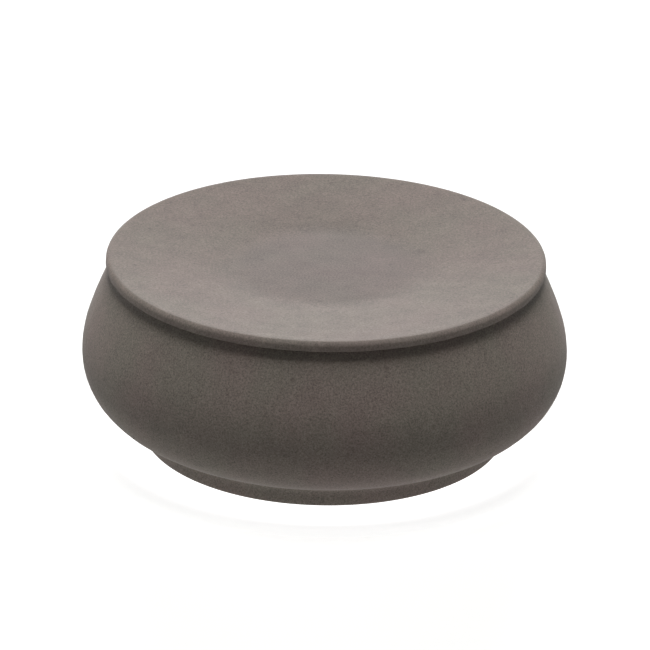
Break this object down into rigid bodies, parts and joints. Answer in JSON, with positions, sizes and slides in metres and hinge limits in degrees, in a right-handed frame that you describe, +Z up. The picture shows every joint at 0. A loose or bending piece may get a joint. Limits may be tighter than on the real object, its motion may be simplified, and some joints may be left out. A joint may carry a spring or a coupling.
{
  "type": "lidded go stone bowl",
  "caption": "Squat turned stoneware bowl on a foot ring, with a thin dished disc lid that lifts off, for holding board-game stones.",
  "frame": {"origin": "centre of the circle on which the bowl's foot ring stands, at table height", "axes": "+Z up along the turning axis of bowl and lid; +X and +Y are free, because both pieces are bodies of revolution"},
  "size_m": [0.16, 0.16, 0.0625],
  "materials": {
    "bowl_stoneware": "unglazed, fine sandy, dark taupe",
    "lid_stoneware": "unglazed, fine sandy, taupe, slightly darker in the middle"
  },
  "bodies": {
    "bowl": {"bowl": "bowl_stoneware"},
    "lid": {"lid": "lid_stoneware"}
  },
  "joints": [
    {"name": "lid_lift", "type": "slide", "parent": "bowl", "child": "lid", "axis": [0, 0, 1], "range_m": [0, 0.08]}
  ]
}
